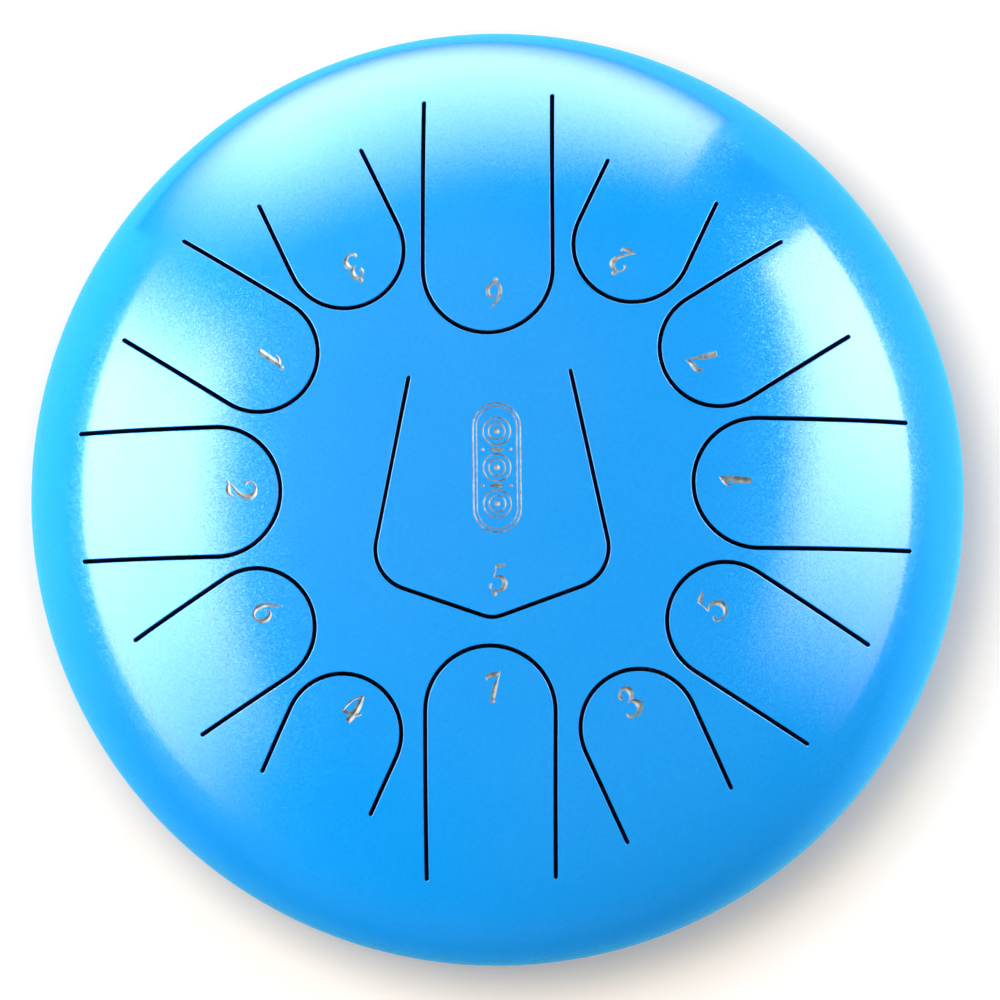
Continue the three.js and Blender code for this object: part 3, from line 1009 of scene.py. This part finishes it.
def make_blue_paint():
    """Metallic sky-blue paint: flakes that each face a little differently, under a clear gloss coat."""
    made, nodes, links, shader = material("blue_paint")
    shader.inputs["Metallic"].default_value = 0.15
    shader.inputs["IOR"].default_value = 1.5
    shader.inputs["Specular IOR Level"].default_value = 0.5
    shader.inputs["Coat Weight"].default_value = 1.0
    shader.inputs["Coat IOR"].default_value = 1.6
    shader.inputs["Coat Roughness"].default_value = 0.1
    flakes = object_noise(nodes, links, 3400, kind="ShaderNodeTexVoronoi")
    tilt = nodes.new("ShaderNodeVectorMath")
    tilt.operation = "MULTIPLY_ADD"
    tilt.inputs[1].default_value = (0.2, 0.2, 0.2)
    tilt.inputs[2].default_value = (-0.1, -0.1, -0.1)
    links.new(flakes.outputs["Color"], tilt.inputs[0])
    geometry = nodes.new("ShaderNodeNewGeometry")
    add = nodes.new("ShaderNodeVectorMath")
    add.operation = "ADD"
    links.new(geometry.outputs["Normal"], add.inputs[0])
    links.new(tilt.outputs["Vector"], add.inputs[1])
    facing = nodes.new("ShaderNodeVectorMath")
    facing.operation = "NORMALIZE"
    links.new(add.outputs["Vector"], facing.inputs[0])
    links.new(facing.outputs["Vector"], shader.inputs["Normal"])
    grain = object_noise(nodes, links, 900, 3)
    two_tone(nodes, links, shader, grain, (0.001, 0.345, 0.96), (0.003, 0.378, 1), 0.3, 0.7)
    drift = object_noise(nodes, links, 45, 3)
    links.new(ramp(nodes, links, drift.outputs["Fac"], 0.2, 0.25, 0.3, 0.7), shader.inputs["Roughness"])
    peel = object_noise(nodes, links, 260, 1)
    relief(nodes, links, peel.outputs["Fac"], 0.05, 0.0002, shader.inputs["Coat Normal"])
    return made


def make_inside_coat_with_painted_shade():
    """The paint inside, thin and matt, with overspray's uneven cover. It is a near-black blue, far darker
    than the outer paint: painted shade for the dark inside seen through the slits.
    """
    made, nodes, links, shader = material("inside_coat_with_painted_shade")
    cover = object_noise(nodes, links, 120, 5)
    # near-black blues: painted shade for the drum's dark inside, not the colour of the outer paint
    two_tone(nodes, links, shader, cover, (0.004, 0.03, 0.09), (0.01, 0.05, 0.14), 0.35, 0.65)
    links.new(ramp(nodes, links, cover.outputs["Fac"], 0.5, 0.75, 0.3, 0.7), shader.inputs["Roughness"])
    return made


def make_bare_steel():
    """Steel bared by a laser: cool grey, uneven, with fine parallel scan lines."""
    made, nodes, links, shader = material("bare_steel")
    shader.inputs["Metallic"].default_value = 0.6
    tint = object_noise(nodes, links, 500, 3)
    two_tone(nodes, links, shader, tint, (0.17, 0.185, 0.18), (0.33, 0.41, 0.43), 0.35, 0.65)
    links.new(ramp(nodes, links, tint.outputs["Fac"], 0.34, 0.5, 0.3, 0.7), shader.inputs["Roughness"])
    scan = nodes.new("ShaderNodeTexWave")
    scan.inputs["Scale"].default_value = 2200
    scan.inputs["Distortion"].default_value = 1.5
    position = nodes.new("ShaderNodeTexCoord")
    links.new(position.outputs["Object"], scan.inputs["Vector"])
    relief(nodes, links, scan.outputs["Fac"], 0.25, 0.00002, shader.inputs["Normal"])
    return made


def make_rubber():
    """Moulded black rubber: matt, finely stippled, greyed where it rubs."""
    made, nodes, links, shader = material("black_rubber")
    bloom = object_noise(nodes, links, 160, 5)
    two_tone(nodes, links, shader, bloom, (0.012, 0.012, 0.013), (0.035, 0.034, 0.033), 0.4, 0.7)
    links.new(ramp(nodes, links, bloom.outputs["Fac"], 0.6, 0.85, 0.3, 0.7), shader.inputs["Roughness"])
    stipple = object_noise(nodes, links, 2500, 2)
    relief(nodes, links, stipple.outputs["Fac"], 0.4, 0.00008, shader.inputs["Normal"])
    return made


def make_zinc():
    """Bright zinc plate: cool grey with a faint blue-yellow bloom."""
    made, nodes, links, shader = material("zinc_steel")
    shader.inputs["Metallic"].default_value = 1.0
    bloom = object_noise(nodes, links, 220, 4)
    two_tone(nodes, links, shader, bloom, (0.56, 0.59, 0.64), (0.68, 0.67, 0.62), 0.35, 0.65)
    links.new(ramp(nodes, links, bloom.outputs["Fac"], 0.22, 0.38, 0.3, 0.7), shader.inputs["Roughness"])
    return made


blue_paint = make_blue_paint()
inside_coat_with_painted_shade = make_inside_coat_with_painted_shade()
bare_steel = make_bare_steel()
rubber = make_rubber()
zinc = make_zinc()
sheet_materials = [blue_paint, bare_steel, inside_coat_with_painted_shade]  # in the order of the slots

# ---------------------------------------------------------------- the drum

tracks = {"low_5": shield_track()}
marks = {
    "low_5": placed(number_strokes("low_5"), np.array(SHIELD_NUMBER), np.array([0, 1]))
    + placed(ornament_strokes(), np.array(ORNAMENT_CENTRE), np.array([0, 1]))
}
for note, (azimuth, reach, heading, half, left, right, mark_azimuth, mark_reach) in OUTER_TONGUES.items():
    tracks[note] = outer_track(azimuth, reach, heading, half, left, right)
    marks[note] = placed(number_strokes(note), mark_reach * unit(mark_azimuth), -unit(mark_azimuth))

for note, track in tracks.items():
    piece = tongue_skin(f"steel_tongue_{note}", track, marks[note])
    node = f"tongue_{note}"
    wall, _ = tongue_wall(track)
    inwards = left_of(wall[0] - wall[-1])
    inwards = inwards / np.linalg.norm(inwards)
    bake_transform(piece)
    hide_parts(node)

for piece, node in (
    (upper_shell_skin(tracks.values()), "upper_shell"),
    (lower_shell_skin(), "lower_shell"),
    (weld_skin(), "weld_seam"),
):
    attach(piece, "shell")
    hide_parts(node)

feet()

# ---------------------------------------------------------------- floor, lights and camera


def make_floor():
    """A white floor that glows a little, as a lit sweep does, all round the drum but not under it.

    The glow fades to nothing close to the drum, which paints a soft shadow round its foot. There the floor's
    colour and its glow are also painted warm, to cancel the blue light that the paint throws onto it.
    From below, the floor is clear, so that the drum's underside can be seen.
    """
    made, nodes, links, shader = material("white_floor_with_painted_light")
    shader.inputs["Roughness"].default_value = 0.7
    position = nodes.new("ShaderNodeTexCoord")
    reach = nodes.new("ShaderNodeVectorMath")
    reach.operation = "LENGTH"
    links.new(position.outputs["Object"], reach.inputs[0])
    edge = SEAM_RADIUS * MM
    # painted shadow: the glow is nothing under the drum and rises over a few centimetres beyond its rim
    glow = ramp(nodes, links, reach.outputs["Value"], 0, 0.36, edge * 0.97, edge * 1.12)
    links.new(glow, shader.inputs["Emission Strength"])
    # painted warmth near the drum, in the floor's colour and its glow, cancels the blue light that the paint
    # throws there
    far = ramp(nodes, links, reach.outputs["Value"], 0, 1, edge * 1.0, edge * 1.4)
    mix_colours(nodes, links, far, (0.93, 0.82, 0.67), (0.92, 0.91, 0.9), shader.inputs["Base Color"])
    mix_colours(nodes, links, far, (1, 0.65, 0.2), (1, 1, 1), shader.inputs["Emission Color"])
    sides = nodes.new("ShaderNodeMixShader")
    links.new(nodes.new("ShaderNodeNewGeometry").outputs["Backfacing"], sides.inputs[0])
    links.new(shader.outputs["BSDF"], sides.inputs[1])
    links.new(nodes.new("ShaderNodeBsdfTransparent").outputs["BSDF"], sides.inputs[2])
    links.new(sides.outputs["Shader"], nodes["Material Output"].inputs["Surface"])
    mesh = bpy.data.meshes.new("floor")
    size = 6
    corners = [(-size, -size, 0), (size, -size, 0), (size, size, 0), (-size, size, 0)]
    mesh.from_pydata(corners, [], [(0, 1, 2, 3)])
    mesh.materials.append(made)
    floor = in_scene("floor", mesh)
    floor.visible_glossy = False
    return floor


def glowing(name, colour):
    """A new material that only glows: itself, its nodes, its links and its emission node."""
    made = bpy.data.materials.new(name)
    made.use_nodes = True
    nodes, links = made.node_tree.nodes, made.node_tree.links
    nodes.clear()
    glow = nodes.new("ShaderNodeEmission")
    glow.inputs["Color"].default_value = (*colour, 1)
    links.new(glow.outputs["Emission"], nodes.new("ShaderNodeOutputMaterial").inputs["Surface"])
    return made, nodes, links, glow


def make_backdrop():
    """A pale round wall far behind everything, which only the camera sees."""
    sides, radius, height = 64, 8, 9
    foot = np.column_stack([circle((0, 0), radius, sides), np.full(sides, -height)])
    top = foot * (1, 1, -1)
    faces = [(i, (i + 1) % sides, sides + (i + 1) % sides, sides + i) for i in range(sides)]
    faces.append(range(sides, 2 * sides))
    mesh = bpy.data.meshes.new("backdrop")
    mesh.from_pydata(np.concatenate([foot, top]).tolist(), [], faces)
    mesh.materials.append(glowing("backdrop", (0.8, 0.81, 0.82))[0])
    wall = in_scene("backdrop", mesh)
    wall.visible_diffuse = False
    wall.visible_glossy = False
    wall.visible_transmission = False
    wall.visible_shadow = False


def softbox(name, corners, strength, soft, colour):
    """A glowing panel that only the gloss of things shows. Soft is the share that fades on each side.

    The corners go bottom left, bottom right, top right, top left, and soft goes left, right, bottom, top.
    """
    mesh = bpy.data.meshes.new(name)
    mesh.from_pydata(corners, [], [(0, 1, 2, 3)])
    layer = mesh.uv_layers.new(name="panel")
    for loop, uv in zip(layer.data, [(0, 0), (1, 0), (1, 1), (0, 1)]):
        loop.uv = uv
    made, nodes, links, glow = glowing(name, colour)
    position = nodes.new("ShaderNodeTexCoord")
    parts = nodes.new("ShaderNodeSeparateXYZ")
    links.new(position.outputs["UV"], parts.inputs["Vector"])
    value = None
    for source, start, stop in (
        ("X", 0, soft[0]),
        ("X", 1, 1 - soft[1]),
        ("Y", 0, soft[2]),
        ("Y", 1, 1 - soft[3]),
    ):
        fade = nodes.new("ShaderNodeMapRange")
        fade.interpolation_type = "SMOOTHSTEP"
        fade.inputs["From Min"].default_value = start
        fade.inputs["From Max"].default_value = stop
        links.new(parts.outputs[source], fade.inputs["Value"])
        if value is None:
            value = fade.outputs["Result"]
            continue
        product = nodes.new("ShaderNodeMath")
        product.operation = "MULTIPLY"
        links.new(value, product.inputs[0])
        links.new(fade.outputs["Result"], product.inputs[1])
        value = product.outputs["Value"]
    power = nodes.new("ShaderNodeMath")
    power.operation = "MULTIPLY"
    power.inputs[1].default_value = strength
    links.new(value, power.inputs[0])
    links.new(power.outputs["Value"], glow.inputs["Strength"])
    mesh.materials.append(made)
    panel = in_scene(name, mesh)
    panel.visible_camera = False
    panel.visible_diffuse = False
    panel.visible_shadow = False


def lamp(name, spot, size, level, lit=None, blockers=None):
    """A round lamp aimed at the drum that lights it without showing in its gloss.

    Level is how bright a white card at the drum, square to the lamp, is made. Lit and blockers are the
    collections that the lamp lights and that block its light, where that isn't everything.
    """
    made = bpy.data.lights.new(name, "AREA")
    made.shape = "DISK"
    made.size = size
    holder = in_scene(name, made)
    holder.location = spot
    aim = Vector((0, 0, 0.1)) - holder.location
    reach = aim.length_squared + (size / 2) ** 2
    made.energy = level * math.pi**2 * reach
    holder.rotation_euler = aim.to_track_quat("-Z", "Y").to_euler()
    holder.visible_glossy = False
    holder.light_linking.receiver_collection = lit
    holder.light_linking.blocker_collection = blockers


WARM = (1, 0.88, 0.84)  # the tint of the highlights' panels
SKY = (0.18, 1, 1.5)  # the tint of the panel on the floor


def collection(name, members):
    """A collection for a lamp's light linking. It isn't part of the scene."""
    made = bpy.data.collections.new(name)
    for member in members:
        made.objects.link(member)
    return made


def make_lights(pieces, floor):
    """Panels that make the highlights, and lamps that light the drum and the floor evenly."""
    softbox(
        "right_softbox",
        [(0.6, -0.47, 0.1), (0.6, 0.56, 0.1), (0.6, 0.56, 0.64), (0.6, -0.47, 1.05)],
        7.6,
        (0.73, 0.03, 0.02, 0.35),
        WARM,
    )
    softbox(
        "left_softbox",
        [(-0.6, 0.5, 0.1), (-0.6, -0.75, 0.1), (-0.6, -0.75, 1.05), (-0.6, 0.5, 1.05)],
        8,
        (0.25, 0.75, 0.04, 0.45),
        WARM,
    )
    softbox(
        "back_board",
        [(0.175, 0.29, 0.0), (-0.23, 0.18, 0.0), (-0.23, 0.18, 0.3), (0.175, 0.29, 0.3)],
        4.3,
        (0.03, 0.3, 0.35, 0.6),
        WARM,
    )
    softbox(
        "floor_sheen",
        [(-0.9, -0.32, 0.002), (0.9, -0.32, 0.002), (0.9, 0.9, 0.002), (-0.9, 0.9, 0.002)],
        0.78,
        (0.3, 0.3, 0.26, 0.1),
        SKY,
    )
    drum = collection("drum", pieces)
    ground = collection("ground", [floor])
    lamp("ceiling", (0, 0, 2.6), 4, 0.5)
    lamp("shadow_lamp", (-0.24, 0.14, 1.95), 0.5, 0.38, ground, drum)
    lamp("upper_left_lamp", (-0.8, 0.7, 1.7), 2.4, 0.5, drum, drum)
    lamp("front_lamp", (0.5, -1.2, 0.9), 1.5, 0.27, drum, drum)
    lamp("back_left_lamp", (-0.7, 0.83, 0.2), 0.6, 0.7, drum, drum)
    lamp("front_left_lamp", (-0.85, -0.6, 0.2), 0.6, 0.45, drum, drum)
    lamp("right_lamp", (1.0, 0.27, 0.2), 0.6, 0.55, drum, drum)
    lamp("under_lamp", (0, 0, -1.2), 1.2, 0.3, drum, drum)
    world = bpy.data.worlds.new("studio")
    world.use_nodes = True
    sky = world.node_tree.nodes["Background"]
    sky.inputs["Color"].default_value = (1, 1, 1, 1)
    sky.inputs["Strength"].default_value = 0.03
    bpy.context.scene.world = world


def make_camera():
    """Almost straight above, a little towards the player and the right, with the drum turned a touch."""
    distance, tilt, pan, roll = 1838, math.radians(3.18), math.radians(1.68), math.radians(-0.6)
    away = Vector((math.sin(pan), -math.sin(tilt), 0))
    away.z = math.sqrt(1 - away.length_squared)
    turn = Matrix.Rotation(roll, 3, "Z")
    back = turn @ away
    up = turn @ Vector((0, 1, 0))
    right = up.cross(back).normalized()
    up = back.cross(right)
    target = Vector((0, 0, SEAM_HEIGHT)) * MM
    data = bpy.data.cameras.new("camera")
    data.sensor_width = 36
    data.lens = 202
    data.shift_x = 0.00325
    data.shift_y = -0.00183
    data.clip_end = 20
    camera = in_scene("camera", data)
    matrix = Matrix((right, up, back)).transposed().to_4x4()
    matrix.translation = target + back * distance * MM
    camera.matrix_world = matrix
    bpy.context.scene.camera = camera


drum_pieces = [o for o in bpy.context.scene.objects if o.type == "MESH"]
make_lights(drum_pieces, make_floor())
make_backdrop()
make_camera()
bpy.context.scene.view_settings.view_transform = "Standard"
